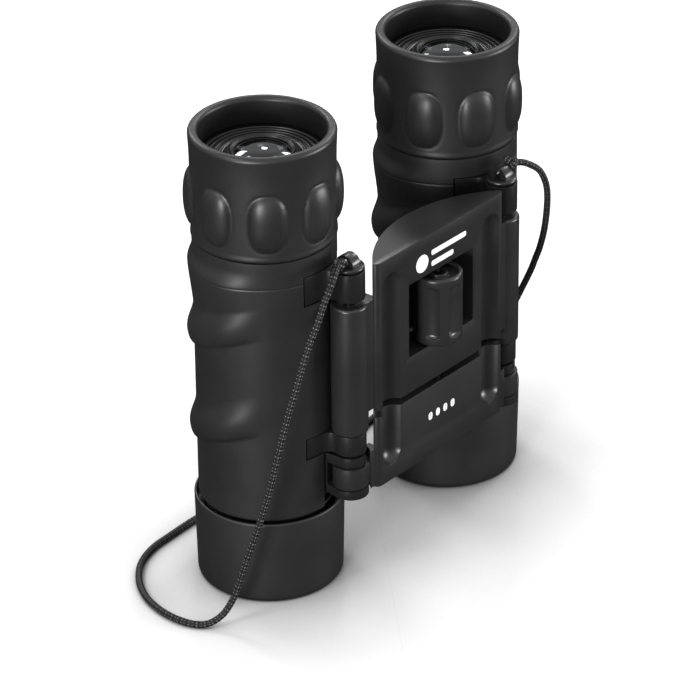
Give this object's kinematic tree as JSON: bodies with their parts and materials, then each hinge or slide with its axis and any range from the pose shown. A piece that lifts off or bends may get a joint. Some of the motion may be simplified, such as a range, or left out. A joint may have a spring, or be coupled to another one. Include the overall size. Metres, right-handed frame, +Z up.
{
  "type": "binoculars",
  "caption": "Compact folding binoculars with two hinged barrels, a sliding focus bridge and wheel, rubber armour and eyecups, and a thin neck cord.",
  "frame": {"origin": "centre of the box of the standing object without its cord, on the plane of the objective bands' rims", "axes": "+Z up along the barrels towards the eyecups, the bridge's front face looks along -Y, +X to the right seen from the front"},
  "size_m": [0.1228, 0.0739, 0.11],
  "materials": {
    "rubber": "matte",
    "band_rubber": "matte",
    "plastic": "satin",
    "bridge_plastic": "satin",
    "wheel_plastic": "satin",
    "inner_plastic": "matte",
    "steel": "satin",
    "lens_glass": "gloss",
    "prism_glass": "gloss",
    "cord": "matte"
  },
  "bodies": {
    "bridge": {"main_bridge": "bridge_plastic", "left_hinge_pin": "steel", "right_hinge_pin": "steel", "left_strap_lug": "plastic", "right_strap_lug": "plastic", "neck_cord_left": "cord", "neck_cord_right": "cord", "neck_cord_coil": "cord"},
    "lower_bridge": {"lower_bridge": "bridge_plastic"},
    "focus": {"focus_wheel": "wheel_plastic", "focus_spindle": "steel"},
    "left_barrel": {"left_barrel_housing": "plastic", "left_barrel_armour": "rubber", "left_objective_band": "band_rubber", "left_prism_holder": "inner_plastic", "left_roof_prism": "prism_glass", "left_half_prism": "prism_glass"},
    "left_objective": {"left_objective_cell": "plastic", "left_objective_retainer": "inner_plastic", "left_objective_front_lens": "lens_glass", "left_objective_rear_lens": "lens_glass"},
    "left_dioptre": {"left_eyepiece_ring": "inner_plastic", "left_eyecup": "rubber"},
    "left_ocular": {"left_ocular_cell": "inner_plastic", "left_field_lens": "lens_glass", "left_eye_lens": "lens_glass", "left_ocular_retainer": "inner_plastic"},
    "right_barrel": {"right_barrel_housing": "plastic", "right_barrel_armour": "rubber", "right_objective_band": "band_rubber", "right_prism_holder": "inner_plastic", "right_roof_prism": "prism_glass", "right_half_prism": "prism_glass", "right_eyepiece_ring": "inner_plastic", "right_eyecup": "rubber", "right_ocular_cell": "inner_plastic", "right_field_lens": "lens_glass", "right_eye_lens": "lens_glass", "right_ocular_retainer": "inner_plastic"},
    "right_objective": {"right_objective_cell": "plastic", "right_objective_retainer": "inner_plastic", "right_objective_front_lens": "lens_glass", "right_objective_rear_lens": "lens_glass"}
  },
  "joints": [
    {"name": "left_fold", "type": "hinge", "parent": "bridge", "child": "left_barrel", "pos_m": [-0.0265, -0.0143, 0.0765], "axis": [0, 0, 1], "range_deg": [-36, 10]},
    {"name": "right_fold", "type": "hinge", "parent": "bridge", "child": "right_barrel", "pos_m": [0.0265, -0.0143, 0.0765], "axis": [0, 0, 1], "range_deg": [-10, 36]},
    {"name": "focus_turn", "type": "hinge", "parent": "bridge", "child": "focus", "pos_m": [0, -0.0176, 0.0613], "axis": [0, 0, 1], "range_deg": [-384.5, 48.5]},
    {"name": "bridge_slide", "type": "slide", "parent": "bridge", "child": "lower_bridge", "axis": [0, 0, 1], "range_m": [-0.0032, 0.0004]},
    {"name": "left_objective_slide", "type": "slide", "parent": "left_barrel", "child": "left_objective", "axis": [0, 0, 1], "range_m": [-0.00321, 0.00041]},
    {"name": "right_objective_slide", "type": "slide", "parent": "right_barrel", "child": "right_objective", "axis": [0, 0, 1], "range_m": [-0.00321, 0.00041]},
    {"name": "left_dioptre_turn", "type": "hinge", "parent": "left_barrel", "child": "left_dioptre", "pos_m": [-0.0315, 0.0052, 0.095], "axis": [0, 0, 1], "range_deg": [-60, 60]},
    {"name": "left_ocular_slide", "type": "slide", "parent": "left_barrel", "child": "left_ocular", "axis": [0, 0, 1], "range_m": [-0.00076, 0.00076]}
  ],
  "couplings": [
    {"joint": "focus_turn", "follows": "bridge_slide", "rad_per_m": 2094.4},
    {"joint": "left_objective_slide", "follows": "bridge_slide", "ratio": 1},
    {"joint": "right_objective_slide", "follows": "bridge_slide", "ratio": 1},
    {"joint": "left_ocular_slide", "follows": "left_dioptre_turn", "m_per_rad": 0.0007162}
  ]
}
